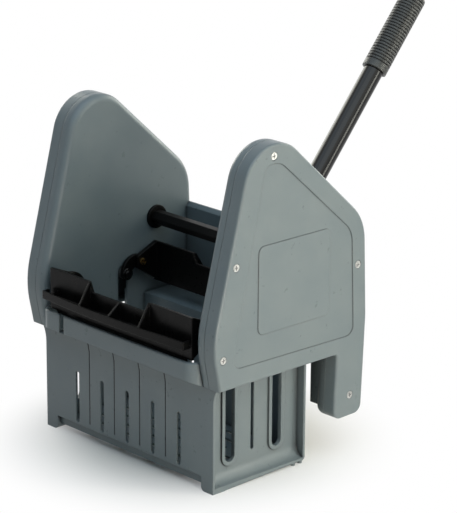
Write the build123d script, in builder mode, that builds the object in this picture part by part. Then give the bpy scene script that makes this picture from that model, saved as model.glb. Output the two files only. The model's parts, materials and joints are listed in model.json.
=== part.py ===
from build123d import *

import os
from math import acos, asin, cos, degrees, pi, radians, sin, tan

# Down-press mop wringer. A grey moulded basket stands between two tall hollow wings. A hex shaft crosses
# the wings and carries the handle. Pulled forward, the handle turns a sector gear in each wing, and each
# gear drives a rack carriage down the side slots. The carriages carry two press plates, which fold over
# the mop as they go.
# X runs to the right, Y to the rear and Z up. The origin is on the floor, at the middle of the basket.

os.makedirs("parts", exist_ok=True)

# Grey mouldings
wing_inner_gap = 281.0
wing_shell_depth = 15.8
cover_depth = 18.7
wall = 3.2
seam_gap = 0.5
rim_round = 9.0
cover_round = 3.0
basket_depth = 155.6
basket_bottom_z = 7.4
wing_bottom_z = 137.6

# Wing outline, corner by corner from the front of its lower edge
wing_front_overhang = 6.5
chest_y, chest_z = -96.4, 195.3
peak_y, peak_z = -25.2, 470.1
shoulder_y, shoulder_z = 157.4, 304.3
back_y, back_z = 163.2, 178.7
heel_y, heel_z = 157.8, 52.0
toe_y, toe_z = 108.9, 51.0
channel_y = 112.9
chest_radius = 120.0
peak_radius = 51.5
shoulder_radius = 63.0
back_radius = 150.0
leg_radius = 12.5
channel_radius = 4.0

# Front lip, rear shelf and back panel
lip_proud = 20.2
lip_bottom_z = 143.8
lip_top_z = 167.5
lip_wall = 3.0
lip_round = 3.0
lip_end_reach = 3.0
lip_end_round = 18.0
lip_notch_x = -101.0
lip_notch_width = 9.0
lip_notch_depth = 7.0
shelf_z = 150.0
shelf_rib_count = 7
panel_y = 149.0
panel_thickness = 6.5
panel_top_z = 258.0
panel_bevel = 5.0
leg_rib_width = 10.0
leg_rib_front_y = 112.0
leg_rib_low_z = 64.5

# Basket walls and floor
drain_slot_pitch = 47.5
drain_slot_width = 7.0
drain_slot_low_z = 21.0
drain_slot_high_z = 89.9
drain_slot_count = 5
groove_width = 1.8
groove_depth = 1.0
groove_low_z = 25.5
groove_bend = 12.0
groove_lean = 3.0
ledge_z = 18.4
ledge_depth = 4.9
floor_slot_length = 44.0
floor_slot_width = 6.0
floor_slot_pitch_x = 54.0
floor_slot_pitch_y = 20.0
floor_column_count = 5
floor_row_count = 7
cove_top_z = 22.0
cove_low_z = 6.5
skirt_z = 3.5
skirt_round = 5.0
foot_size = 21.0
foot_round = 6.0
corner_flare = 7.0
corner_flare_height = 22.0
peg_radius = 3.0
peg_front_y = 60.0
peg_rear_y = 72.0

# Side slots, where the press pins run
slot_mid_y = -1.3
slot_offset = 39.2
slot_width = 15.6
slot_low_z = 30.0
slot_end_gap = 1.2
slot_rim_width = 5.0
slot_rim_height = 2.5
slot_rim_top_z = 150.0
slit_width = 5.1
slit_low_z = 35.3
slit_high_z = 130.0

# Cover fasteners and recessed panel
screw_points = ((-0.1, 411.4), (-59.4, 287.1), (145.9, 247.5), (-79.3, 176.9), (136.4, 79.5))
screw_boss_radius = 6.2
screw_head_radius = 4.6
screw_head_height = 1.7
screw_sink_gap = 0.5
screw_radius = 1.75
screw_hole_gap = 0.15
screw_pilot_gap = 0.02
screw_tip_gap = 2.0
cross_width = 1.0
cross_length = 5.4
cross_depth = 1.0
label_y, label_z = 37.0, 249.5
label_width, label_height = 120.0, 110.0
label_round = 9.0
recess_depth = 1.0
recess_points = ((-14.0, 398.9), (6.3, 406.3), (134.6, 293.7), (140.8, 158.0), (-65.4, 161.2))
recess_rounds = (8.0, 28.0, 32.0, 12.0, 12.0)

# Shaft, bushes and gears
shaft_y, shaft_z = 95.2, 249.4
shaft_flats = 17.0
hex_gap = 0.08
bush_flange_radius = 15.5
bush_flange_thickness = 3.5
bush_radius = 13.0
running_gap = 0.08
side_gap = 0.3
cover_bush_wall = 2.5
cover_boss_wall = 4.0
cover_boss_depth = 11.0
end_screw_flange = 11.0
end_screw_flange_thickness = 1.4
end_screw_head = 5.0
end_screw_head_height = 1.8
end_screw_radius = 3.0
end_screw_length = 14.0
gear_module = 4.0
gear_teeth = 29
pressure_angle = 20.0
tooth_addendum = 0.9
tooth_dedendum = 1.25
tooth_backlash = 0.6
gear_hub_radius = 19.0
lead_tooth_count = 1
work_tooth_count = 9
stop_circle = 48.0
stop_radius = 5.0
stop_gap = 0.5
handle_travel = 95.0

# Rack carriages
carriage_gap = 0.8
carriage_seam_gap = 0.3
bar_height = 22.0
rack_back_width = 8.2
rack_end_margin = 16.0
rack_guide_thickness = 4.0
rack_guide_gap = 0.4
rack_guide_low_z = 205.0
rack_guide_high_z = 330.0
press_pin_z = 185.0
press_pin_radius = 5.0
pin_fit_gap = 0.05
pin_inner_length = 3.4
pin_end_gap = 0.5
clip_radius = 8.0
clip_thickness = 1.3
clip_gap = 0.4
slot_bush_gap = 0.3

# Return springs
lug_thickness = 4.0
lug_width = 12.0
lug_rise = 12.0
lug_hole_radius = 2.5
spring_post_z = 396.0
spring_post_radius = 3.5
spring_radius = 6.0
spring_wire = 2.0
spring_coil_count = 45
spring_loop_radius = 5.4

# Press plates, given for the rear plate
plate_end_gap = 9.3
plate_face_y = 83.5
plate_thickness = 3.5
plate_low_z = 168.0
plate_top_z = 221.0
hem_low_z = 163.0
hem_thickness = 1.0
hem_end_gap = 11.0
notch_half_width = 53.0
notch_slope = 6.0
notch_depth = 13.0
rib_thickness = 3.0
rib_low_z = 177.0
rib_spacing = 55.0
strip_y = 105.5
strip_bow = 6.0
strip_thickness = 3.0
strip_return = 9.0
strip_low_z = 184.0
strip_top_z = 194.0
tray_thickness = 2.5
ear_thickness = 6.0
ear_nose_radius = 8.0
rivet_y, rivet_z = 59.0, 199.0
rivet_radius = 3.2
rivet_head_radius = 4.7
rivet_head_height = 2.2
rivet_bore_radius = 1.7
rivet_fit_gap = 0.02
link_thickness = 5.0
link_width = 16.0
link_rise = 7.0
link_bore_gap = 0.08

# Handle
handle_x = 79.0
handle_angle = 50.0
tube_diameter = 25.4
tube_wall = 1.6
tube_gap = 0.05
hub_width = 34.0
hub_radius = 19.5
socket_radius = 17.5
socket_start = 26.0
socket_end = 62.0
bolt_distance = 44.0
bolt_radius = 3.0
bolt_gap = 0.1
bolt_head_flats = 10.0
bolt_head_height = 4.0
grip_start = 269.0
grip_end = 381.0
grip_radius = 16.4
grip_groove_depth = 1.2
grip_collar = 9.5
grip_ring_count = 24
grip_end_wall = 5.0
grip_end_round = 5.0

# Places worked out from the sizes above
wing_x = wing_inner_gap / 2
wall_x = wing_x + wall
seam_x = wing_x + wing_shell_depth
half_width = seam_x + cover_depth
basket_y = basket_depth / 2
inner_y = basket_y - wall
lip_front_y = -basket_y - lip_proud
lip_root_z = wing_bottom_z - wall
floor_top_z = basket_bottom_z + wall
carriage_x0 = wall_x + slot_rim_height + carriage_gap
carriage_x1 = seam_x - carriage_seam_gap
carriage_mid_x = (carriage_x0 + carriage_x1) / 2
front_slot_y = slot_mid_y - slot_offset
rear_slot_y = slot_mid_y + slot_offset
slot_top_center_z = press_pin_z + slot_end_gap
slot_low_center_z = slot_low_z + slot_width / 2
pitch_radius = gear_module * gear_teeth / 2
press_travel = pitch_radius * radians(handle_travel)
rack_pitch = pi * gear_module
rack_y = shaft_y - pitch_radius
rack_root_y = rack_y - tooth_dedendum * gear_module
rack_back_y = rack_root_y - rack_back_width
rack_top_z = shaft_z + press_travel + rack_end_margin
bar_top_z = press_pin_z + bar_height / 2
lug_top_z = bar_top_z + lug_rise
lug_hole_z = lug_top_z - lug_width / 2
journal_end_x = half_width - wall - end_screw_flange_thickness - end_screw_head_height - 2 * side_gap
cover_bush_radius = bush_radius + running_gap + cover_bush_wall
cover_boss_x = half_width - wall - cover_boss_depth
plate_back_y = plate_face_y + plate_thickness
plate_half_length = wing_x - plate_end_gap
link_x1 = plate_half_length + link_thickness
both_sides = (-1, 1)
mid_slots = Plane.XZ.offset(-slot_mid_y)
handle_plane = Plane(
    origin=(handle_x, shaft_y, shaft_z),
    x_dir=(1, 0, 0),
    z_dir=(0, cos(radians(handle_angle)), sin(radians(handle_angle))),
)


def finish(part, name):
    """Label one piece and write its file."""
    part.label = name
    export_step(part, f"parts/{name}.step")


def draw_wing(inset=0.0):
    """Fill the wing outline in the open sketch, set in from its edge by the given amount."""
    corners = (
        (-basket_y - wing_front_overhang, wing_bottom_z),
        (chest_y, chest_z),
        (peak_y, peak_z),
        (shoulder_y, shoulder_z),
        (back_y, back_z),
        (heel_y, heel_z),
        (toe_y, toe_z),
        (channel_y, wing_bottom_z),
    )
    corner_radii = (
        0,
        chest_radius,
        peak_radius,
        shoulder_radius,
        back_radius,
        leg_radius,
        leg_radius,
        channel_radius,
    )
    with BuildLine() as outline:
        FilletPolyline(*corners, radius=corner_radii, close=True)
    make_face(outline.edges())
    if inset:
        offset(amount=-inset, mode=Mode.REPLACE)


def draw_slots(width, low_center_z, high_center_z, places_y):
    """Draw upright round-ended slots in the open sketch."""
    middle_z = (low_center_z + high_center_z) / 2
    with Locations(*[(y, middle_z) for y in places_y]):
        SlotCenterToCenter(high_center_z - low_center_z, width, rotation=90)


def draw_hex(flats):
    """Draw the shaft's hexagon at the shaft's place in the open sketch."""
    with Locations((shaft_y, shaft_z)):
        RegularPolygon(flats / 2, 6, major_radius=False)


def stop_place(edge_angle, side):
    """Place of a stop post just outside a radial edge of the sector."""
    lead = degrees(asin((stop_radius + stop_gap) / stop_circle))
    angle = radians(edge_angle + side * lead)
    return (shaft_y + stop_circle * cos(angle), shaft_z + stop_circle * sin(angle))


# Sector gear outline, with involute flanks
tooth_angle = 360 / gear_teeth
sector_low_angle = 180 - (work_tooth_count + 0.5) * tooth_angle
sector_high_angle = 180 + (lead_tooth_count + 0.5) * tooth_angle
base_radius = pitch_radius * cos(radians(pressure_angle))
root_radius = pitch_radius - tooth_dedendum * gear_module
tip_radius = pitch_radius + tooth_addendum * gear_module


def involute(angle):
    """Involute function of a pressure angle in radians."""
    return tan(angle) - angle


def flank_angle(radius):
    """Half of a tooth's angle at a radius, in radians."""
    half_at_pitch = (rack_pitch / 2 - tooth_backlash / 2) / 2 / pitch_radius
    local = acos(min(1.0, base_radius / radius))
    return half_at_pitch + involute(radians(pressure_angle)) - involute(local)


def sector_points():
    """Outline of the toothed sector about the shaft, from its lowest angle to its highest."""
    steps = 4
    flank = [root_radius]
    flank += [base_radius + (tip_radius - base_radius) * i / steps for i in range(steps + 1)]
    points = [(shaft_y, shaft_z)]
    for index in range(work_tooth_count, -lead_tooth_count - 1, -1):
        middle = radians(180 - index * tooth_angle)
        rising = [(r, middle - flank_angle(r)) for r in flank]
        falling = [(r, middle + flank_angle(r)) for r in reversed(flank)]
        points += [(shaft_y + r * cos(a), shaft_z + r * sin(a)) for r, a in rising + falling]
    return points


def rack_points():
    """Outline of the rack, whose teeth face the rear and mesh with the sector at the shaft's height."""
    half_at_pitch = (rack_pitch / 2 - tooth_backlash / 2) / 2
    slope = tan(radians(pressure_angle))
    root_half = half_at_pitch + tooth_dedendum * gear_module * slope
    tip_half = half_at_pitch - tooth_addendum * gear_module * slope
    tip_y = rack_y + tooth_addendum * gear_module
    points = [(rack_back_y, press_pin_z), (rack_root_y, press_pin_z)]
    first = -lead_tooth_count - 1
    last = int((rack_top_z - shaft_z) / rack_pitch - 0.5)
    for index in range(first, last):
        middle = shaft_z + (index + 0.5) * rack_pitch
        points.append((rack_root_y, middle - root_half))
        points.append((tip_y, middle - tip_half))
        points.append((tip_y, middle + tip_half))
        points.append((rack_root_y, middle + root_half))
    points += [(rack_root_y, rack_top_z), (rack_back_y, rack_top_z)]
    return points


# Inner half of the right wing, solid, and the hollow inside it
with BuildPart() as wing_blank:
    with BuildSketch(Plane.YZ.offset(wing_x)):
        draw_wing()
    extrude(amount=wing_shell_depth)
    fillet(wing_blank.faces().sort_by(Axis.X)[0].edges(), radius=rim_round)

with BuildPart() as wing_hollow:
    with BuildSketch(Plane.YZ.offset(wall_x)):
        draw_wing(inset=wall)
    extrude(amount=wing_shell_depth - wall)
    fillet(wing_hollow.faces().sort_by(Axis.X)[0].edges(), radius=rim_round - wall)

# Front lip: a rolled rim that ends on the wings, hollowed to clear the folding plate
with BuildPart() as lip_trough:
    with BuildSketch(Plane.YZ):
        with BuildLine():
            Polyline(
                (-inner_y, lip_root_z + wall),
                (lip_front_y + lip_wall, lip_bottom_z + wall),
                (lip_front_y + lip_wall, lip_top_z),
                (-inner_y, lip_top_z),
                close=True,
            )
        make_face()
    extrude(amount=wing_x + lip_end_reach - lip_wall, both=True)
    trough_front = lip_trough.faces().sort_by(Axis.Y)[0]
    fillet(trough_front.edges().filter_by(Axis.Z), radius=lip_end_round - lip_wall)

with BuildPart() as lip:
    with BuildSketch(Plane.YZ):
        with BuildLine():
            Polyline(
                (-inner_y, lip_root_z),
                (-basket_y, lip_root_z),
                (lip_front_y, lip_bottom_z),
                (lip_front_y, lip_top_z),
                (-inner_y, lip_top_z),
                close=True,
            )
        make_face()
    extrude(amount=wing_x + lip_end_reach, both=True)
    fillet(lip.faces().sort_by(Axis.Y)[0].edges().filter_by(Axis.Z), radius=lip_end_round)
    front_edge = lip.faces().sort_by(Axis.Z)[-1].edges().sort_by(Axis.Y)[0]
    fillet(front_edge, radius=lip_round)
    add(lip_trough.part, mode=Mode.SUBTRACT)

# Basket, wing shells, lip, shelf and back panel in one moulding
with BuildPart() as body:
    with BuildSketch(Plane.XY.offset(basket_bottom_z)):
        Rectangle(2 * seam_x, basket_depth)
    extrude(amount=wing_bottom_z - basket_bottom_z)
    add(wing_blank.part)
    mirror(wing_blank.part, about=Plane.YZ)
    add(lip.part)
    for side in both_sides:
        with BuildSketch(Plane.YZ.offset(side * wing_x)):
            with Locations((0, wing_bottom_z)):
                Rectangle(basket_depth, 2 * rim_round)
        extrude(amount=side * wall)

    # Rear wall top, shelf with its ribs, back panel and the ribs along the legs
    with BuildSketch(Plane.YZ):
        with BuildLine():
            Polyline(
                (inner_y, wing_bottom_z - wall),
                (inner_y, shelf_z),
                (panel_y, shelf_z),
                (panel_y, panel_top_z - panel_bevel),
                (panel_y + panel_bevel, panel_top_z),
                (panel_y + panel_thickness, panel_top_z),
                (panel_y + panel_thickness, wing_bottom_z),
                (panel_y, wing_bottom_z),
                (panel_y, shelf_z - wall),
                (basket_y, shelf_z - wall),
                (basket_y, wing_bottom_z - wall),
                close=True,
            )
        make_face()
    extrude(amount=wall_x, both=True)
    with BuildSketch(Plane.XY.offset(wing_bottom_z)):
        with Locations((0, (basket_y + panel_y) / 2)):
            with GridLocations(2 * wing_x / shelf_rib_count, 0, shelf_rib_count, 1):
                Rectangle(wall, panel_y - basket_y)
    extrude(amount=shelf_z - wall / 2 - wing_bottom_z)
    with BuildSketch(Plane.XY.offset(leg_rib_low_z)):
        for side in both_sides:
            with Locations((side * wing_x, (leg_rib_front_y + panel_y) / 2)):
                Rectangle(2 * leg_rib_width, panel_y - leg_rib_front_y)
    extrude(amount=shelf_z - wall / 2 - leg_rib_low_z)

    # Side skirts with their coved foot
    for side in both_sides:
        with BuildSketch(Plane.YZ.offset(side * seam_x)):
            with BuildLine():
                FilletPolyline(
                    (-basket_y, floor_top_z),
                    (-basket_y, 0),
                    (basket_y, skirt_z),
                    (basket_y, floor_top_z),
                    radius=(0, 0, skirt_round, 0),
                    close=True,
                )
            make_face()
        extrude(amount=-side * wall)
        with BuildSketch(Plane.XZ):
            with BuildLine():
                Polyline(
                    (side * wing_x, floor_top_z),
                    (side * wing_x, basket_bottom_z),
                    (side * (seam_x - wall), cove_low_z - wall),
                    (side * seam_x, cove_low_z - wall),
                    (side * seam_x, floor_top_z),
                    close=True,
                )
            make_face()
        extrude(amount=inner_y, both=True)

    # Flared front corners under the covers
    flare_top_z = wing_bottom_z - seam_gap
    flare_low_z = flare_top_z - corner_flare_height
    with BuildSketch(Plane.XZ.offset(basket_y)):
        for side in both_sides:
            flare_x = side * (seam_x + corner_flare)
            root_x = side * (seam_x - wall)
            with BuildLine():
                TangentArc((side * seam_x, flare_low_z), (flare_x, flare_top_z), tangent=(0, 1))
                Polyline(
                    (flare_x, flare_top_z),
                    (root_x, flare_top_z),
                    (root_x, flare_low_z),
                    (side * seam_x, flare_low_z),
                )
            make_face()
    extrude(amount=-wall)

    # Front feet and rear pegs
    with BuildSketch(Plane.XZ.offset(basket_y)):
        for side in both_sides:
            with BuildLine():
                FilletPolyline(
                    (side * seam_x, floor_top_z),
                    (side * seam_x, 0),
                    (side * (seam_x - foot_size), 0),
                    (side * (seam_x - foot_size), floor_top_z),
                    radius=(0, 0, foot_round, 0),
                    close=True,
                )
            make_face()
    extrude(amount=-foot_size)
    with BuildSketch(Plane.XY):
        for side in both_sides:
            with Locations(*[(side * (seam_x - peg_radius), y) for y in (peg_front_y, peg_rear_y)]):
                Circle(peg_radius)
    extrude(amount=floor_top_z)

    # Basket hollow, side recesses with their coved foot, and wing hollows
    with BuildSketch(Plane.XY.offset(floor_top_z)):
        Rectangle(wing_inner_gap, 2 * inner_y)
    extrude(amount=wing_bottom_z - floor_top_z, mode=Mode.SUBTRACT)
    for side in both_sides:
        recess_x = side * (seam_x + seam_gap)
        with BuildSketch(Plane.XZ):
            with BuildLine():
                TangentArc((side * wall_x, cove_top_z), (recess_x, cove_low_z), tangent=(0, -1))
                Polyline(
                    (recess_x, cove_low_z),
                    (recess_x, wing_bottom_z + 2 * wall),
                    (side * wall_x, wing_bottom_z + 2 * wall),
                    (side * wall_x, cove_top_z),
                )
            make_face()
        extrude(amount=inner_y, both=True, mode=Mode.SUBTRACT)
    add(wing_hollow.part, mode=Mode.SUBTRACT)
    mirror(wing_hollow.part, about=Plane.YZ, mode=Mode.SUBTRACT)

    # Front wall set back under a ledge, between the feet
    with BuildSketch(Plane.XY.offset(floor_top_z)):
        with Locations((0, -inner_y + (ledge_depth - wall) / 2)):
            Rectangle(2 * wall_x, ledge_depth + wall)
    extrude(amount=ledge_z + wall - floor_top_z)
    with BuildSketch(Plane.XZ.offset(basket_y)):
        with Locations((0, ledge_z / 2)):
            Rectangle(2 * (seam_x - foot_size), ledge_z)
    extrude(amount=-ledge_depth, mode=Mode.SUBTRACT)

    # Rims round the pin slots, screw bosses, stop posts, spring posts and rack guides
    stop_points = (
        stop_place(sector_low_angle, -1),
        stop_place(sector_high_angle + handle_travel, 1),
    )
    for side in both_sides:
        outside = Plane.YZ.offset(side * wall_x)
        with BuildSketch(outside):
            draw_slots(
                slot_width + 2 * slot_rim_width,
                slot_low_center_z,
                slot_rim_top_z,
                (front_slot_y, rear_slot_y),
            )
        extrude(amount=side * slot_rim_height)
        with BuildSketch(outside):
            with Locations(*screw_points):
                Circle(screw_boss_radius)
        extrude(amount=side * (seam_x - wall_x))
        with BuildSketch(outside):
            with Locations(*stop_points):
                Circle(stop_radius)
            with Locations((slot_mid_y, spring_post_z)):
                Circle(spring_post_radius)
            with Locations(
                (
                    rack_back_y - rack_guide_gap - rack_guide_thickness / 2,
                    (rack_guide_low_z + rack_guide_high_z) / 2,
                )
            ):
                Rectangle(rack_guide_thickness, rack_guide_high_z - rack_guide_low_z)
        extrude(amount=side * (seam_x - wall_x - seam_gap))
        with BuildSketch(Plane.YZ.offset(side * seam_x)):
            with Locations(*screw_points):
                Circle(screw_radius + screw_pilot_gap)
        extrude(amount=-side * (seam_x - wall_x - screw_tip_gap / 2), mode=Mode.SUBTRACT)

    # Pin slots, middle slits and shaft holes through both side walls
    with BuildSketch(Plane.YZ):
        draw_slots(slot_width, slot_low_center_z, slot_top_center_z, (front_slot_y, rear_slot_y))
        draw_slots(slit_width, slit_low_z + slit_width / 2, slit_high_z, (slot_mid_y,))
        with Locations((shaft_y, shaft_z)):
            Circle(bush_radius + running_gap)
    extrude(amount=wall_x + slot_rim_height, both=True, mode=Mode.SUBTRACT)

    # Drain slots and shallow panel lines in the front and rear walls
    drain_middle_z = (drain_slot_low_z + drain_slot_high_z) / 2
    with BuildSketch(Plane.XZ):
        with Locations((0, drain_middle_z)):
            with GridLocations(drain_slot_pitch, 0, drain_slot_count, 1):
                SlotOverall(drain_slot_high_z - drain_slot_low_z, drain_slot_width, rotation=90)
    extrude(amount=basket_depth, both=True, mode=Mode.SUBTRACT)
    with BuildSketch(Plane.XZ.offset(basket_y)):
        for gap in range(drain_slot_count - 1):
            x = (gap + 1 - drain_slot_count / 2) * drain_slot_pitch
            with BuildLine() as groove_line:
                FilletPolyline(
                    (x, groove_low_z),
                    (x, lip_root_z - groove_bend),
                    (x - groove_lean, lip_root_z),
                    radius=groove_bend,
                )
            SlotArc(groove_line.wire(), groove_width)
    extrude(amount=-groove_depth, mode=Mode.SUBTRACT)

    # Slotted floor and the notch in the lip
    with BuildSketch(Plane.XY.offset(floor_top_z)):
        with GridLocations(floor_slot_pitch_x, floor_slot_pitch_y, floor_column_count, floor_row_count):
            SlotOverall(floor_slot_length, floor_slot_width)
    extrude(amount=-wall, mode=Mode.SUBTRACT)
    with BuildSketch(Plane.XY.offset(lip_bottom_z)):
        with Locations((lip_notch_x, lip_front_y + lip_notch_depth / 2)):
            Rectangle(lip_notch_width, lip_notch_depth)
    extrude(amount=lip_top_z - lip_bottom_z, mode=Mode.SUBTRACT)
finish(body.part, "body")

# Right wing cover, with its bosses, screw sinks and a recessed panel round the raised label place
with BuildPart() as right_cover:
    with BuildSketch(Plane.YZ.offset(seam_x + seam_gap)):
        draw_wing()
    extrude(amount=cover_depth - seam_gap)
    fillet(right_cover.faces().sort_by(Axis.X)[-1].edges(), radius=cover_round)
    with BuildSketch(Plane.YZ.offset(seam_x + seam_gap)):
        draw_wing(inset=wall)
    extrude(amount=cover_depth - seam_gap - wall, mode=Mode.SUBTRACT)
    with BuildSketch(Plane.YZ.offset(seam_x)):
        with Locations(*screw_points):
            Circle(screw_boss_radius)
    extrude(amount=cover_depth - wall)
    with BuildSketch(Plane.YZ.offset(cover_boss_x)):
        with Locations((shaft_y, shaft_z)):
            Circle(cover_bush_radius + cover_boss_wall)
            Circle(cover_bush_radius + screw_pilot_gap, mode=Mode.SUBTRACT)
    extrude(amount=cover_boss_depth)
    with BuildSketch(Plane.YZ.offset(half_width)):
        with Locations(*screw_points):
            Circle(screw_head_radius + screw_sink_gap)
    extrude(amount=-screw_head_height, mode=Mode.SUBTRACT)
    with BuildSketch(Plane.YZ.offset(half_width)):
        with Locations(*screw_points):
            Circle(screw_radius + screw_hole_gap)
    extrude(amount=-cover_depth, mode=Mode.SUBTRACT)
    with BuildSketch(Plane.YZ.offset(half_width)):
        with BuildLine():
            FilletPolyline(*recess_points, radius=recess_rounds, close=True)
        make_face()
        with Locations((label_y, label_z)):
            RectangleRounded(label_width, label_height, label_round, mode=Mode.SUBTRACT)
    extrude(amount=-recess_depth, mode=Mode.SUBTRACT)
finish(right_cover.part, "right_cover")

with BuildPart() as left_cover:
    mirror(right_cover.part, about=Plane.YZ)
finish(left_cover.part, "left_cover")

# Cover screws with cross recesses
with BuildPart() as right_cover_screws:
    with BuildSketch(Plane.YZ.offset(half_width)):
        with Locations(*screw_points):
            Circle(screw_head_radius)
    extrude(amount=-screw_head_height)
    with BuildSketch(Plane.YZ.offset(half_width - screw_head_height)):
        with Locations(*screw_points):
            Circle(screw_radius)
    extrude(amount=-(half_width - screw_head_height - wall_x - screw_tip_gap))
    with BuildSketch(Plane.YZ.offset(half_width)):
        with Locations(*screw_points):
            Rectangle(cross_length, cross_width)
            Rectangle(cross_width, cross_length)
    extrude(amount=-cross_depth, mode=Mode.SUBTRACT)
finish(right_cover_screws.part, "right_cover_screws")

with BuildPart() as left_cover_screws:
    mirror(right_cover_screws.part, about=Plane.YZ)
finish(left_cover_screws.part, "left_cover_screws")

# Bearing rings in the covers
with BuildPart() as right_cover_bush:
    with BuildSketch(Plane.YZ.offset(cover_boss_x)):
        with Locations((shaft_y, shaft_z)):
            Circle(cover_bush_radius)
            Circle(bush_radius + running_gap, mode=Mode.SUBTRACT)
    extrude(amount=cover_boss_depth)
finish(right_cover_bush.part, "right_cover_bush")

with BuildPart() as left_cover_bush:
    mirror(right_cover_bush.part, about=Plane.YZ)
finish(left_cover_bush.part, "left_cover_bush")

# Hex shaft, drilled at both ends for the end screws
with BuildPart() as hex_shaft:
    with BuildSketch(Plane.YZ):
        draw_hex(shaft_flats)
    extrude(amount=journal_end_x, both=True)
    for side in both_sides:
        with BuildSketch(Plane.YZ.offset(side * journal_end_x)):
            with Locations((shaft_y, shaft_z)):
                Circle(end_screw_radius + screw_pilot_gap)
        extrude(amount=-side * (end_screw_length + screw_tip_gap), mode=Mode.SUBTRACT)
finish(hex_shaft.part, "hex_shaft")

with BuildPart() as shaft_end_screws:
    with BuildSketch(Plane.YZ.offset(journal_end_x)):
        with Locations((shaft_y, shaft_z)):
            Circle(end_screw_flange)
    extrude(amount=end_screw_flange_thickness)
    with BuildSketch(Plane.YZ.offset(journal_end_x + end_screw_flange_thickness)):
        with Locations((shaft_y, shaft_z)):
            RegularPolygon(end_screw_head, 6, major_radius=False)
    extrude(amount=end_screw_head_height)
    with BuildSketch(Plane.YZ.offset(journal_end_x)):
        with Locations((shaft_y, shaft_z)):
            Circle(end_screw_radius)
    extrude(amount=-end_screw_length)
    mirror(about=Plane.YZ)
finish(shaft_end_screws.part, "shaft_end_screws")

# Flanged bushes that carry the shaft in the wing walls
with BuildPart() as right_shaft_bush:
    with BuildSketch(Plane.YZ.offset(wing_x - side_gap - bush_flange_thickness)):
        with Locations((shaft_y, shaft_z)):
            Circle(bush_flange_radius)
    extrude(amount=bush_flange_thickness)
    with BuildSketch(Plane.YZ.offset(wing_x - side_gap)):
        with Locations((shaft_y, shaft_z)):
            Circle(bush_radius)
    extrude(amount=carriage_x0 - wing_x + side_gap)
    with BuildSketch(Plane.YZ):
        draw_hex(shaft_flats + 2 * hex_gap)
    extrude(amount=half_width, mode=Mode.SUBTRACT)
finish(right_shaft_bush.part, "right_shaft_bush")

with BuildPart() as left_shaft_bush:
    mirror(right_shaft_bush.part, about=Plane.YZ)
finish(left_shaft_bush.part, "left_shaft_bush")

# Sector gears, whose hubs run in the cover bushes
with BuildPart() as right_sector_gear:
    with BuildSketch(Plane.YZ.offset(carriage_x0)):
        with BuildLine():
            Polyline(*sector_points(), close=True)
        make_face()
        with Locations((shaft_y, shaft_z)):
            Circle(gear_hub_radius)
    extrude(amount=carriage_x1 - carriage_x0)
    with BuildSketch(Plane.YZ.offset(carriage_x1)):
        with Locations((shaft_y, shaft_z)):
            Circle(bush_radius)
    extrude(amount=journal_end_x - carriage_x1)
    with BuildSketch(Plane.YZ):
        draw_hex(shaft_flats + 2 * hex_gap)
    extrude(amount=half_width, mode=Mode.SUBTRACT)
finish(right_sector_gear.part, "right_sector_gear")

with BuildPart() as left_sector_gear:
    mirror(right_sector_gear.part, about=Plane.YZ)
finish(left_sector_gear.part, "left_sector_gear")

# Rack carriages, each with a bar between its two pins and a lug for its spring
with BuildPart() as right_carriage:
    with BuildSketch(Plane.YZ.offset(carriage_x0)):
        with BuildLine():
            Polyline(*rack_points(), close=True)
        make_face()
        with Locations((slot_mid_y, press_pin_z)):
            SlotCenterToCenter(2 * slot_offset, bar_height)
        with Locations((front_slot_y, press_pin_z), (rear_slot_y, press_pin_z)):
            Circle(press_pin_radius + pin_fit_gap, mode=Mode.SUBTRACT)
    extrude(amount=carriage_x1 - carriage_x0)
    with BuildSketch(Plane.YZ.offset(carriage_mid_x - lug_thickness / 2)):
        with Locations((slot_mid_y, (press_pin_z + lug_top_z) / 2)):
            Rectangle(lug_width, lug_top_z - press_pin_z)
        with Locations((slot_mid_y, lug_hole_z)):
            Circle(lug_hole_radius, mode=Mode.SUBTRACT)
    extrude(amount=lug_thickness)
finish(right_carriage.part, "right_carriage")

with BuildPart() as left_carriage:
    mirror(right_carriage.part, about=Plane.YZ)
finish(left_carriage.part, "left_carriage")

# Press pins through the slots, their slot bushes and their clips
pin_places = ((front_slot_y, press_pin_z), (rear_slot_y, press_pin_z))
pin_x0 = plate_half_length - pin_inner_length

with BuildPart() as right_press_pins:
    with BuildSketch(Plane.YZ.offset(pin_x0)):
        with Locations(*pin_places):
            Circle(press_pin_radius)
    extrude(amount=carriage_x1 - pin_end_gap - pin_x0)
finish(right_press_pins.part, "right_press_pins")

with BuildPart() as right_slot_bushes:
    with BuildSketch(Plane.YZ.offset(link_x1 + side_gap)):
        with Locations(*pin_places):
            Circle(slot_width / 2 - slot_bush_gap)
            Circle(press_pin_radius + pin_fit_gap, mode=Mode.SUBTRACT)
    extrude(amount=carriage_x0 - link_x1 - side_gap)
finish(right_slot_bushes.part, "right_slot_bushes")

with BuildPart() as right_pin_clips:
    with BuildSketch(Plane.YZ.offset(plate_half_length - clip_gap - clip_thickness)):
        with Locations(*pin_places):
            Circle(clip_radius)
            Circle(press_pin_radius + pin_fit_gap, mode=Mode.SUBTRACT)
    extrude(amount=clip_thickness)
finish(right_pin_clips.part, "right_pin_clips")

with BuildPart() as left_press_pins:
    mirror(right_press_pins.part, about=Plane.YZ)
finish(left_press_pins.part, "left_press_pins")

with BuildPart() as left_slot_bushes:
    mirror(right_slot_bushes.part, about=Plane.YZ)
finish(left_slot_bushes.part, "left_slot_bushes")

with BuildPart() as left_pin_clips:
    mirror(right_pin_clips.part, about=Plane.YZ)
finish(left_pin_clips.part, "left_pin_clips")

# Return springs, close wound, with a loop at each end
wire_radius = spring_wire / 2
low_loop_z = lug_hole_z + spring_loop_radius - lug_hole_radius + wire_radius
high_loop_z = spring_post_z + spring_post_radius + wire_radius - spring_loop_radius
coil_length = spring_coil_count * spring_wire
coil_low_z = (low_loop_z + high_loop_z - coil_length) / 2

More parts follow.
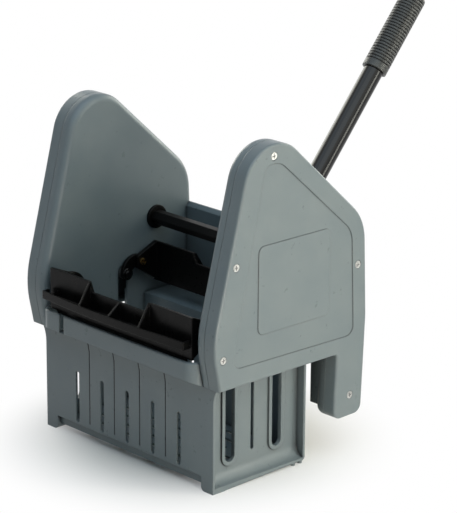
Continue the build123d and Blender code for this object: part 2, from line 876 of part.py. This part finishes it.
with BuildPart() as right_return_spring:
    with BuildSketch(Plane.XZ.offset(-slot_mid_y)):
        with BuildLine():
            Polyline(
                (carriage_mid_x, coil_low_z + coil_length),
                (carriage_mid_x, coil_low_z),
                (carriage_mid_x + spring_radius - wire_radius, coil_low_z),
            )
            for coil in range(spring_coil_count):
                low = coil_low_z + coil * spring_wire
                ThreePointArc(
                    (carriage_mid_x + spring_radius - wire_radius, low),
                    (carriage_mid_x + spring_radius, low + wire_radius),
                    (carriage_mid_x + spring_radius - wire_radius, low + spring_wire),
                )
            Line(
                (carriage_mid_x + spring_radius - wire_radius, coil_low_z + coil_length),
                (carriage_mid_x, coil_low_z + coil_length),
            )
        make_face()
    revolve(axis=Axis((carriage_mid_x, slot_mid_y, 0), (0, 0, 1)))
    with Locations(Location((carriage_mid_x, slot_mid_y, low_loop_z), (90, 0, 0))):
        Torus(spring_loop_radius, wire_radius)
    with Locations(Location((carriage_mid_x, slot_mid_y, high_loop_z), (0, 90, 0))):
        Torus(spring_loop_radius, wire_radius)
    with BuildSketch(Plane.XY.offset(low_loop_z + spring_loop_radius)):
        with Locations((carriage_mid_x, slot_mid_y)):
            Circle(wire_radius)
    extrude(amount=high_loop_z - low_loop_z - 2 * spring_loop_radius)
finish(right_return_spring.part, "right_return_spring")

with BuildPart() as left_return_spring:
    mirror(right_return_spring.part, about=Plane.YZ)
finish(left_return_spring.part, "left_return_spring")


def strip_place(x):
    """Distance to the rear of the bowed strip's middle line at a place along the plate."""
    return strip_y - strip_bow * (x / plate_half_length) ** 2


# Rear press plate: notched plate, ribs, bowed strip, tray between them and an ear at each end
strip_end_x = plate_half_length - strip_thickness / 2
rib_places = (0, -rib_spacing, rib_spacing)

with BuildPart() as rear_press_plate:
    with BuildSketch(Plane.XZ.offset(-plate_face_y)):
        with BuildLine():
            Polyline(
                (-plate_half_length, plate_low_z),
                (-plate_half_length, plate_top_z),
                (-notch_half_width - notch_slope / 2, plate_top_z),
                (-notch_half_width + notch_slope / 2, plate_top_z - notch_depth),
                (notch_half_width - notch_slope / 2, plate_top_z - notch_depth),
                (notch_half_width + notch_slope / 2, plate_top_z),
                (plate_half_length, plate_top_z),
                (plate_half_length, plate_low_z),
                close=True,
            )
        make_face()
    extrude(amount=-plate_thickness)
    for x in rib_places:
        rib_top_z = plate_top_z - (notch_depth if abs(x) < notch_half_width - rib_thickness else 0)
        with BuildSketch(Plane.YZ.offset(x - rib_thickness / 2)):
            with BuildLine():
                Polyline(
                    (plate_face_y + plate_thickness / 2, rib_low_z),
                    (plate_face_y + plate_thickness / 2, rib_top_z),
                    (plate_back_y, rib_top_z),
                    (strip_place(x), strip_top_z),
                    (strip_place(x), strip_low_z),
                    (plate_back_y, rib_low_z),
                    close=True,
                )
            make_face()
        extrude(amount=rib_thickness)
    with BuildLine(Plane.XY.offset(strip_low_z)) as strip_line:
        ThreePointArc(
            (-strip_end_x, strip_place(strip_end_x)),
            (0, strip_y),
            (strip_end_x, strip_place(strip_end_x)),
        )
    with BuildSketch(Plane.XY.offset(strip_low_z)):
        SlotArc(strip_line.edge(), strip_thickness)
        for side in both_sides:
            with Locations((side * strip_end_x, strip_place(strip_end_x) - strip_return / 2)):
                Rectangle(strip_thickness, strip_return)
    extrude(amount=strip_top_z - strip_low_z)
    with BuildSketch(Plane.XY.offset(strip_low_z)):
        with BuildLine():
            ThreePointArc(
                (-strip_end_x, strip_place(strip_end_x)),
                (0, strip_y),
                (strip_end_x, strip_place(strip_end_x)),
            )
            Polyline(
                (strip_end_x, strip_place(strip_end_x)),
                (strip_end_x, plate_face_y + plate_thickness / 2),
                (-strip_end_x, plate_face_y + plate_thickness / 2),
                (-strip_end_x, strip_place(strip_end_x)),
            )
        make_face()
    extrude(amount=tray_thickness)
    ear_low_z = plate_low_z + ear_nose_radius / 4
    for side in both_sides:
        with BuildSketch(Plane.YZ.offset(side * plate_half_length)):
            with BuildLine():
                FilletPolyline(
                    (plate_face_y + plate_thickness / 2, plate_top_z),
                    (plate_face_y, plate_top_z),
                    (rivet_y - ear_nose_radius, rivet_z + ear_nose_radius),
                    (rivet_y - ear_nose_radius, rivet_z - ear_nose_radius),
                    (plate_face_y, ear_low_z),
                    (plate_face_y + plate_thickness / 2, ear_low_z),
                    radius=(0, 0, ear_nose_radius / 2, ear_nose_radius / 2, 0, 0),
                    close=True,
                )
            make_face()
            with Locations((rivet_y, rivet_z)):
                Circle(rivet_radius + rivet_fit_gap, mode=Mode.SUBTRACT)
        extrude(amount=-side * ear_thickness)
finish(rear_press_plate.part, "rear_press_plate")

# Front press plate, the same but for a thin hem that reaches down into the lip
front_face_y = 2 * slot_mid_y - plate_face_y
front_back_y = 2 * slot_mid_y - plate_back_y

with BuildPart() as front_press_plate:
    mirror(rear_press_plate.part, about=mid_slots)
    with BuildSketch(Plane.YZ):
        with BuildLine():
            Polyline(
                (front_face_y, plate_low_z),
                (front_face_y, hem_low_z),
                (front_face_y - hem_thickness, hem_low_z),
                (front_back_y, plate_low_z),
                close=True,
            )
        make_face()
    extrude(amount=plate_half_length - hem_end_gap, both=True)
finish(front_press_plate.part, "front_press_plate")

# Curved links from the plate ears to the press pins
link_mid_y = (rear_slot_y + rivet_y) / 2
link_mid_z = (press_pin_z + rivet_z) / 2 + link_rise

with BuildPart() as rear_right_link:
    with BuildSketch(Plane.YZ.offset(plate_half_length)):
        with BuildLine() as link_arc:
            ThreePointArc((rear_slot_y, press_pin_z), (link_mid_y, link_mid_z), (rivet_y, rivet_z))
        SlotArc(link_arc.edge(), link_width)
        with Locations((rear_slot_y, press_pin_z)):
            Circle(press_pin_radius + link_bore_gap, mode=Mode.SUBTRACT)
        with Locations((rivet_y, rivet_z)):
            Circle(rivet_radius + rivet_fit_gap, mode=Mode.SUBTRACT)
    extrude(amount=link_thickness)
finish(rear_right_link.part, "rear_right_link")

with BuildPart() as rear_left_link:
    mirror(rear_right_link.part, about=Plane.YZ)
finish(rear_left_link.part, "rear_left_link")

with BuildPart() as front_right_link:
    mirror(rear_right_link.part, about=mid_slots)
finish(front_right_link.part, "front_right_link")

with BuildPart() as front_left_link:
    mirror(rear_left_link.part, about=mid_slots)
finish(front_left_link.part, "front_left_link")

# Brass rivets, hollow at the inner end, that hold the links to the ears
rivet_x0 = plate_half_length - ear_thickness

with BuildPart() as rear_link_rivets:
    with BuildSketch(Plane.YZ.offset(rivet_x0)):
        with Locations((rivet_y, rivet_z)):
            Circle(rivet_radius)
    extrude(amount=link_x1 - rivet_x0)
    for start, height in ((rivet_x0, -rivet_head_height), (link_x1, rivet_head_height)):
        with BuildSketch(Plane.YZ.offset(start)):
            with Locations((rivet_y, rivet_z)):
                Circle(rivet_head_radius)
        extrude(amount=height)
    with BuildSketch(Plane.YZ.offset(rivet_x0 - rivet_head_height)):
        with Locations((rivet_y, rivet_z)):
            Circle(rivet_bore_radius)
    extrude(amount=ear_thickness, mode=Mode.SUBTRACT)
    mirror(about=Plane.YZ)
finish(rear_link_rivets.part, "rear_link_rivets")

with BuildPart() as front_link_rivets:
    mirror(rear_link_rivets.part, about=mid_slots)
finish(front_link_rivets.part, "front_link_rivets")

# Handle hub on the hex shaft, with a socket for the tube
with BuildPart() as handle_hub:
    with BuildSketch(Plane.YZ.offset(handle_x - hub_width / 2)):
        with Locations((shaft_y, shaft_z)):
            Circle(hub_radius)
    extrude(amount=hub_width)
    with BuildSketch(handle_plane):
        Circle(socket_radius)
    extrude(amount=socket_end)
    with BuildSketch(Plane.YZ.offset(handle_x)):
        draw_hex(shaft_flats + 2 * hex_gap)
    extrude(amount=hub_width, both=True, mode=Mode.SUBTRACT)
    with BuildSketch(handle_plane.offset(socket_start)):
        Circle(tube_diameter / 2 + tube_gap)
    extrude(amount=socket_end - socket_start, mode=Mode.SUBTRACT)
    bolt_y = shaft_y + bolt_distance * cos(radians(handle_angle))
    bolt_z = shaft_z + bolt_distance * sin(radians(handle_angle))
    with BuildSketch(Plane.YZ.offset(handle_x)):
        with Locations((bolt_y, bolt_z)):
            Circle(bolt_radius + bolt_gap)
    extrude(amount=hub_width, both=True, mode=Mode.SUBTRACT)
    for side in both_sides:
        with BuildSketch(Plane.YZ.offset(handle_x + side * (socket_radius - wall / 2))):
            with Locations((bolt_y, bolt_z)):
                Circle(bolt_head_flats)
        extrude(amount=side * wall, mode=Mode.SUBTRACT)
finish(handle_hub.part, "handle_hub")

with BuildPart() as handle_tube:
    with BuildSketch(handle_plane.offset(socket_start)):
        Circle(tube_diameter / 2)
        Circle(tube_diameter / 2 - tube_wall, mode=Mode.SUBTRACT)
    extrude(amount=grip_end - grip_end_wall - socket_start)
    with BuildSketch(Plane.YZ.offset(handle_x)):
        with Locations((bolt_y, bolt_z)):
            Circle(bolt_radius + bolt_gap)
    extrude(amount=hub_width, both=True, mode=Mode.SUBTRACT)
finish(handle_tube.part, "handle_tube")

# Cross bolt and nut through the socket
bolt_seat = socket_radius - wall / 2

with BuildPart() as handle_bolt:
    with BuildSketch(Plane.YZ.offset(handle_x + bolt_seat)):
        with Locations((bolt_y, bolt_z)):
            RegularPolygon(bolt_head_flats / 2, 6, major_radius=False)
    extrude(amount=bolt_head_height)
    with BuildSketch(Plane.YZ.offset(handle_x + bolt_seat)):
        with Locations((bolt_y, bolt_z)):
            Circle(bolt_radius)
    extrude(amount=-2 * bolt_seat - bolt_head_height - screw_tip_gap)
finish(handle_bolt.part, "handle_bolt")

with BuildPart() as handle_nut:
    with BuildSketch(Plane.YZ.offset(handle_x - bolt_seat)):
        with Locations((bolt_y, bolt_z)):
            RegularPolygon(bolt_head_flats / 2, 6, major_radius=False)
            Circle(bolt_radius + screw_pilot_gap, mode=Mode.SUBTRACT)
    extrude(amount=-bolt_head_height)
finish(handle_nut.part, "handle_nut")

# Ribbed grip with a plain collar and a closed, rounded end
ring_pitch = (grip_end - grip_end_round - grip_start - grip_collar) / grip_ring_count

with BuildPart() as handle_grip:
    with BuildSketch(handle_plane.offset(grip_start)):
        Circle(grip_radius)
    extrude(amount=grip_end - grip_start)
    fillet(handle_grip.edges().sort_by(handle_plane.location.z_axis)[-1], radius=grip_end_round)
    for ring in range(grip_ring_count):
        with BuildSketch(handle_plane.offset(grip_start + grip_collar + ring * ring_pitch)):
            Circle(grip_radius)
            Circle(grip_radius - grip_groove_depth, mode=Mode.SUBTRACT)
        extrude(amount=ring_pitch / 3, mode=Mode.SUBTRACT)
    with BuildSketch(handle_plane.offset(grip_start)):
        Circle(tube_diameter / 2 + tube_gap)
    extrude(amount=grip_end - grip_end_wall - grip_start, mode=Mode.SUBTRACT)
finish(handle_grip.part, "handle_grip")
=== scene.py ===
"""Down-press mop wringer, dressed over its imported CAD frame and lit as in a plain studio."""

import json
from math import cos, radians, sin

import bpy
from mathutils import Matrix, Vector

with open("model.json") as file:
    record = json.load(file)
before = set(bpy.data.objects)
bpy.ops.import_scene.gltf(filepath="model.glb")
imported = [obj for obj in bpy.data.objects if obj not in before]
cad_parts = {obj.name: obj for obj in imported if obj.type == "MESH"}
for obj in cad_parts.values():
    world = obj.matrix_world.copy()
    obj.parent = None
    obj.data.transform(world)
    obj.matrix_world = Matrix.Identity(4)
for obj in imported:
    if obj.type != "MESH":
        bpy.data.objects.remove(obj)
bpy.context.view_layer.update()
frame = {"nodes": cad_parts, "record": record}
nodes = frame["nodes"]
scene = bpy.context.scene

# Photograph's camera, in metres, degrees and millimetres of lens
camera_azimuth = 46.60
camera_elevation = 17.64
camera_roll = 0.41
camera_distance = 3.2553
camera_target = Vector((-0.1275, 0.2137, 0.1719))
camera_lens = 170.7
camera_sensor = 36.0
camera_reach = 100.0

# Colours, linear
grey_colour = (0.139, 0.171, 0.183)
grey_light_colour = (0.153, 0.184, 0.193)
black_colour = (0.0025, 0.0025, 0.0025)
black_dusty_colour = (0.007, 0.0065, 0.006)
paint_colour = (0.003, 0.003, 0.003)
rubber_colour = (0.022, 0.024, 0.022)
rubber_worn_colour = (0.038, 0.040, 0.037)
nylon_colour = (0.045, 0.046, 0.050)
zinc_colour = (0.62, 0.62, 0.59)
brass_colour = (0.60, 0.40, 0.14)
floor_colour = (0.90, 0.87, 0.83)
white_colour = (1.0, 1.0, 1.0)
surround_colour = (0.86, 0.93, 1.0)
warm_colour = (1.0, 0.90, 0.78)
plain_colour = (1.0, 1.0, 0.88)
sky_colour = (0.62, 0.82, 1.0)

# Brightness of dull metal as a share of clean metal
zinc_dull_share = 0.75
brass_dull_share = 0.6

# Roughness, from and to
grey_roughness = (0.26, 0.38)
black_roughness = (0.24, 0.38)
gloss_roughness = (0.04, 0.08)
satin_roughness = (0.38, 0.5)
rubber_roughness = (0.26, 0.38)
nylon_roughness = (0.35, 0.5)
zinc_roughness = (0.25, 0.42)
brass_roughness = (0.22, 0.4)
floor_roughness = 0.9

# Sheen, as the shader's specular level
grey_sheen = 0.38
black_sheen = 0.1
gloss_sheen = 0.3
satin_sheen = 0.12
rubber_sheen = 0.4
floor_sheen = 0.1

# Depth of the relief, in metres
plastic_depth = 0.00004
gloss_depth = 0.000002
satin_depth = 0.00002
rubber_depth = 0.00006
metal_depth = 0.00002

# Sizes of surface detail, in metres
edge_round = 0.0022
grain_size = 0.0009
peel_size = 0.0036
tarnish_size = 0.004
scuff_size = 0.012
mottle_size = 0.045

# Part of the noise's range over which a colour, the dust or the roughness changes
colour_span = (0.35, 0.65)
dust_span = (0.45, 0.8)
roughness_span = (0.3, 0.7)

# Painted shade, which darkens the colour where the piece's own walls stand close: reach in metres, share
# of the colour left in the deepest place, openness where it starts and ends
crevice_painted_shade = (0.007, 0.3, (0.35, 0.85))
hollow_painted_shade = (0.09, 0.08, (0.25, 0.6))
rib_painted_shade = (0.0015, 0.15, (0.5, 0.9))
recess_painted_shade = (0.0015, 0.1, (0.45, 0.9))
painted_shade_samples = 8

# Floor, and the part of it round the object that keeps its shadow, in metres
floor_half = 12.0
floor_shade_middle = (0.0, 0.03, 0.0)
floor_shade_span = (0.10, 0.28)

# Light of the surroundings, and the point that the lamps look at, in metres
surround_strength = 0.03
lamp_target = Vector((0, 0.05, 0.2))


def new_material(name):
    """A material with one principled shader, and its node tree."""
    material = bpy.data.materials.new(name)
    material.use_nodes = True
    tree = material.node_tree
    return material, tree, tree.nodes["Principled BSDF"]


def noise(tree, size, detail=2.0, roughness=0.5):
    """Noise of a real size, measured in the object's own space."""
    place = tree.nodes.new("ShaderNodeTexCoord")
    texture = tree.nodes.new("ShaderNodeTexNoise")
    texture.inputs["Scale"].default_value = 1 / size
    texture.inputs["Detail"].default_value = detail
    texture.inputs["Roughness"].default_value = roughness
    tree.links.new(place.outputs["Object"], texture.inputs["Vector"])
    return texture.outputs["Fac"]


def ramp(tree, value, low, high, span=colour_span):
    """A colour that goes from low to high as the value crosses the span."""
    node = tree.nodes.new("ShaderNodeValToRGB")
    first, last = node.color_ramp.elements
    first.position, last.position = span
    first.color, last.color = (*low, 1), (*high, 1)
    tree.links.new(value, node.inputs["Fac"])
    return node.outputs["Color"]


def spread(tree, value, limits):
    """A number that goes from one limit to the other as the value crosses the roughness span."""
    node = tree.nodes.new("ShaderNodeMapRange")
    node.inputs["From Min"].default_value, node.inputs["From Max"].default_value = roughness_span
    node.inputs["To Min"].default_value, node.inputs["To Max"].default_value = limits
    tree.links.new(value, node.inputs["Value"])
    return node.outputs["Result"]


def add_painted_shade(tree, colour, reach, share, span):
    """The colour with painted shade, down to a share of it where the piece's own walls stand close round
    it.
    """
    room = tree.nodes.new("ShaderNodeAmbientOcclusion")
    room.samples = painted_shade_samples
    room.only_local = True
    room.inputs["Distance"].default_value = reach
    shade = ramp(tree, room.outputs["AO"], (share, share, share), white_colour, span)
    mix = tree.nodes.new("ShaderNodeMix")
    mix.data_type = "RGBA"
    mix.blend_type = "MULTIPLY"
    mix.inputs["Factor"].default_value = 1.0
    tree.links.new(colour, mix.inputs["A"])
    tree.links.new(shade, mix.inputs["B"])
    return mix.outputs["Result"]


def relief(tree, shader, height, depth, round_edges=True):
    """Fine relief on the surface, over softly rounded edges."""
    bump = tree.nodes.new("ShaderNodeBump")
    bump.inputs["Distance"].default_value = depth
    tree.links.new(height, bump.inputs["Height"])
    if round_edges:
        edge = tree.nodes.new("ShaderNodeBevel")
        edge.inputs["Radius"].default_value = edge_round
        tree.links.new(edge.outputs["Normal"], bump.inputs["Normal"])
    tree.links.new(bump.outputs["Normal"], shader.inputs["Normal"])


def moulded_grey():
    """Blue-grey moulded plastic with a fine grain, a faint mottle, and painted shade that darkens its
    crevices and hollows.
    """
    material, tree, shader = new_material("moulded_grey")
    mottle = noise(tree, mottle_size, detail=4.0)
    colour = ramp(tree, mottle, grey_colour, grey_light_colour)
    # Painted shade in crevices and seams, then deeper painted shade in the hollows
    colour = add_painted_shade(tree, colour, *crevice_painted_shade)
    colour = add_painted_shade(tree, colour, *hollow_painted_shade)
    tree.links.new(colour, shader.inputs["Base Color"])
    scuffs = noise(tree, scuff_size, detail=6.0, roughness=0.7)
    tree.links.new(spread(tree, scuffs, grey_roughness), shader.inputs["Roughness"])
    shader.inputs["Specular IOR Level"].default_value = grey_sheen
    relief(tree, shader, noise(tree, grain_size, detail=3.0), plastic_depth)
    return material


def moulded_black():
    """Black moulded plastic, satin, with a little dust."""
    material, tree, shader = new_material("moulded_black")
    dust = noise(tree, mottle_size, detail=6.0, roughness=0.65)
    colour = ramp(tree, dust, black_colour, black_dusty_colour, dust_span)
    tree.links.new(colour, shader.inputs["Base Color"])
    scuffs = noise(tree, scuff_size, detail=6.0, roughness=0.7)
    tree.links.new(spread(tree, scuffs, black_roughness), shader.inputs["Roughness"])
    shader.inputs["Specular IOR Level"].default_value = black_sheen
    relief(tree, shader, noise(tree, grain_size, detail=3.0), plastic_depth)
    return material


def gloss_paint():
    """Black gloss paint on metal, with a slight orange peel."""
    material, tree, shader = new_material("gloss_paint")
    shade = noise(tree, mottle_size, detail=3.0)
    tree.links.new(ramp(tree, shade, paint_colour, black_colour), shader.inputs["Base Color"])
    tree.links.new(spread(tree, shade, gloss_roughness), shader.inputs["Roughness"])
    shader.inputs["Specular IOR Level"].default_value = gloss_sheen
    relief(tree, shader, noise(tree, peel_size, detail=1.0), gloss_depth)
    return material


def satin_paint():
    """Black satin paint, as on the cross shaft."""
    material, tree, shader = new_material("satin_paint")
    shade = noise(tree, mottle_size, detail=3.0)
    tree.links.new(ramp(tree, shade, paint_colour, black_colour), shader.inputs["Base Color"])
    tree.links.new(spread(tree, shade, satin_roughness), shader.inputs["Roughness"])
    shader.inputs["Specular IOR Level"].default_value = satin_sheen
    relief(tree, shader, noise(tree, grain_size), satin_depth)
    return material


def ribbed_rubber():
    """Charcoal rubber, paler where hands wear it, with painted shade between the ribs."""
    material, tree, shader = new_material("ribbed_rubber")
    wear = noise(tree, scuff_size, detail=5.0, roughness=0.6)
    colour = ramp(tree, wear, rubber_colour, rubber_worn_colour)
    # Painted shade between the ribs
    tree.links.new(add_painted_shade(tree, colour, *rib_painted_shade), shader.inputs["Base Color"])
    tree.links.new(spread(tree, wear, rubber_roughness), shader.inputs["Roughness"])
    shader.inputs["Specular IOR Level"].default_value = rubber_sheen
    relief(tree, shader, noise(tree, grain_size, detail=3.0), rubber_depth)
    return material


def dark_nylon():
    """Dark nylon of the gears, racks and bearings."""
    material, tree, shader = new_material("dark_nylon")
    mottle = noise(tree, mottle_size, detail=4.0)
    tree.links.new(ramp(tree, mottle, nylon_colour, rubber_worn_colour), shader.inputs["Base Color"])
    tree.links.new(spread(tree, mottle, nylon_roughness), shader.inputs["Roughness"])
    relief(tree, shader, noise(tree, grain_size), plastic_depth)
    return material


def bare_metal(name, colour, dull_share, roughness):
    """Plated or bare metal with a faint tarnish and painted shade in its recesses."""
    material, tree, shader = new_material(name)
    dull = tuple(dull_share * channel for channel in colour)
    tarnish = noise(tree, tarnish_size, detail=5.0)
    shade = ramp(tree, tarnish, dull, colour)
    # Painted shade in the recesses, such as the screws' cross recesses
    tree.links.new(add_painted_shade(tree, shade, *recess_painted_shade), shader.inputs["Base Color"])
    tree.links.new(spread(tree, tarnish, roughness), shader.inputs["Roughness"])
    shader.inputs["Metallic"].default_value = 1.0
    relief(tree, shader, noise(tree, grain_size), metal_depth, round_edges=False)
    return material


black_paint = gloss_paint()
slot_materials = {
    "grey_plastic": moulded_grey(),
    "black_plastic": moulded_black(),
    "black_steel": black_paint,
    "black_alloy": black_paint,
    "grip_rubber": ribbed_rubber(),
    "dark_nylon": dark_nylon(),
    "zinc_steel": bare_metal("zinc_plate", zinc_colour, zinc_dull_share, zinc_roughness),
    "brass": bare_metal("worn_brass", brass_colour, brass_dull_share, brass_roughness),
}

# Every CAD node takes the finish of its material slot, and the cross shaft a duller paint
for entry in frame["record"]["subparts"]:
    node = nodes[entry["node"]]
    node.data.materials.clear()
    node.data.materials.append(slot_materials[entry["material_slot"]])
nodes["hex_shaft"].data.materials[0] = satin_paint()


def seen_straight(tree):
    """One for what the camera sees, and for what shows in a reflection or through glass."""
    path = tree.nodes.new("ShaderNodeLightPath")
    mirrored = tree.nodes.new("ShaderNodeMath")
    mirrored.operation = "MAXIMUM"
    tree.links.new(path.outputs["Is Glossy Ray"], mirrored.inputs[0])
    tree.links.new(path.outputs["Is Transmission Ray"], mirrored.inputs[1])
    either = tree.nodes.new("ShaderNodeMath")
    either.operation = "MAXIMUM"
    tree.links.new(path.outputs["Is Camera Ray"], either.inputs[0])
    tree.links.new(mirrored.outputs["Value"], either.inputs[1])
    return either.outputs["Value"]


def add_floor():
    """A wide pale floor that keeps the object's shadow and turns white away from it."""
    mesh = bpy.data.meshes.new("floor")
    corners = [
        (-floor_half, -floor_half, 0),
        (floor_half, -floor_half, 0),
        (floor_half, floor_half, 0),
        (-floor_half, floor_half, 0),
    ]
    mesh.from_pydata(corners, [], [(0, 1, 2, 3)])
    floor = bpy.data.objects.new("floor", mesh)
    scene.collection.objects.link(floor)
    material, tree, shader = new_material("floor")
    shader.inputs["Base Color"].default_value = (*floor_colour, 1)
    shader.inputs["Roughness"].default_value = floor_roughness
    shader.inputs["Specular IOR Level"].default_value = floor_sheen
    place = tree.nodes.new("ShaderNodeTexCoord")
    away = tree.nodes.new("ShaderNodeVectorMath")
    away.operation = "DISTANCE"
    away.inputs[1].default_value = floor_shade_middle
    tree.links.new(place.outputs["Object"], away.inputs[0])
    reach = tree.nodes.new("ShaderNodeMapRange")
    reach.interpolation_type = "SMOOTHSTEP"
    reach.inputs["From Min"].default_value, reach.inputs["From Max"].default_value = floor_shade_span
    tree.links.new(away.outputs["Value"], reach.inputs["Value"])
    share = tree.nodes.new("ShaderNodeMath")
    share.operation = "MULTIPLY"
    tree.links.new(seen_straight(tree), share.inputs[0])
    tree.links.new(reach.outputs["Result"], share.inputs[1])
    glow = tree.nodes.new("ShaderNodeEmission")
    mix = tree.nodes.new("ShaderNodeMixShader")
    tree.links.new(share.outputs["Value"], mix.inputs["Fac"])
    tree.links.new(shader.outputs["BSDF"], mix.inputs[1])
    tree.links.new(glow.outputs["Emission"], mix.inputs[2])
    tree.links.new(mix.outputs["Shader"], tree.nodes["Material Output"].inputs["Surface"])
    mesh.materials.append(material)


def add_world():
    """Even pale surroundings, white to the camera and in reflections."""
    world = bpy.data.worlds.new("studio")
    scene.world = world
    world.use_nodes = True
    tree = world.node_tree
    soft = tree.nodes["Background"]
    soft.inputs["Color"].default_value = (*surround_colour, 1)
    soft.inputs["Strength"].default_value = surround_strength
    white = tree.nodes.new("ShaderNodeBackground")
    white.inputs["Color"].default_value = (*white_colour, 1)
    mix = tree.nodes.new("ShaderNodeMixShader")
    tree.links.new(seen_straight(tree), mix.inputs["Fac"])
    tree.links.new(soft.outputs["Background"], mix.inputs[1])
    tree.links.new(white.outputs["Background"], mix.inputs[2])
    tree.links.new(mix.outputs["Shader"], tree.nodes["World Output"].inputs["Surface"])


def pointing(azimuth, elevation):
    """The direction of a compass angle, counted from the front to the right, and a lift, in degrees."""
    turn, lift = radians(azimuth), radians(elevation)
    return Vector((sin(turn) * cos(lift), -cos(turn) * cos(lift), sin(lift)))


def add_softbox(name, colour, azimuth, elevation, distance, size, power):
    """An area lamp of a width and height in metres and a power in watts, which looks at the object."""
    lamp = bpy.data.lights.new(name, "AREA")
    lamp.color = colour
    lamp.shape = "RECTANGLE"
    lamp.size, lamp.size_y = size
    lamp.energy = power
    holder = bpy.data.objects.new(name, lamp)
    scene.collection.objects.link(holder)
    away = pointing(azimuth, elevation)
    holder.location = lamp_target + distance * away
    holder.rotation_euler = (-away).to_track_quat("-Z", "Y").to_euler()


def add_camera():
    """The photograph's viewpoint."""
    data = bpy.data.cameras.new("camera")
    data.sensor_fit = "VERTICAL"
    data.sensor_height = camera_sensor
    data.lens = camera_lens
    data.clip_end = camera_reach
    camera = bpy.data.objects.new("camera", data)
    scene.collection.objects.link(camera)
    away = pointing(camera_azimuth, camera_elevation)
    level = (-away).to_track_quat("-Z", "Y").to_matrix()
    roll = Matrix.Rotation(radians(camera_roll), 3, "Z")
    stand = Matrix.Translation(camera_target + camera_distance * away)
    camera.matrix_world = stand @ (level @ roll).to_4x4()
    scene.camera = camera


add_floor()
add_world()
add_softbox("key", warm_colour, azimuth=78, elevation=-5, distance=0.9, size=(0.3, 0.3), power=3.8)
add_softbox("side", plain_colour, azimuth=85, elevation=48, distance=1.4, size=(1.4, 1.4), power=4)
add_softbox("strip", plain_colour, azimuth=119, elevation=14, distance=1.5, size=(0.22, 1.4), power=9)
add_softbox("top", sky_colour, azimuth=42, elevation=68, distance=1.6, size=(2.2, 2.2), power=17)
add_softbox("left", plain_colour, azimuth=-98, elevation=20, distance=2.2, size=(1.4, 1.4), power=20)
add_softbox("rear", plain_colour, azimuth=175, elevation=20, distance=2.2, size=(1.4, 1.4), power=24)
add_camera()
scene.view_settings.view_transform = "Standard"
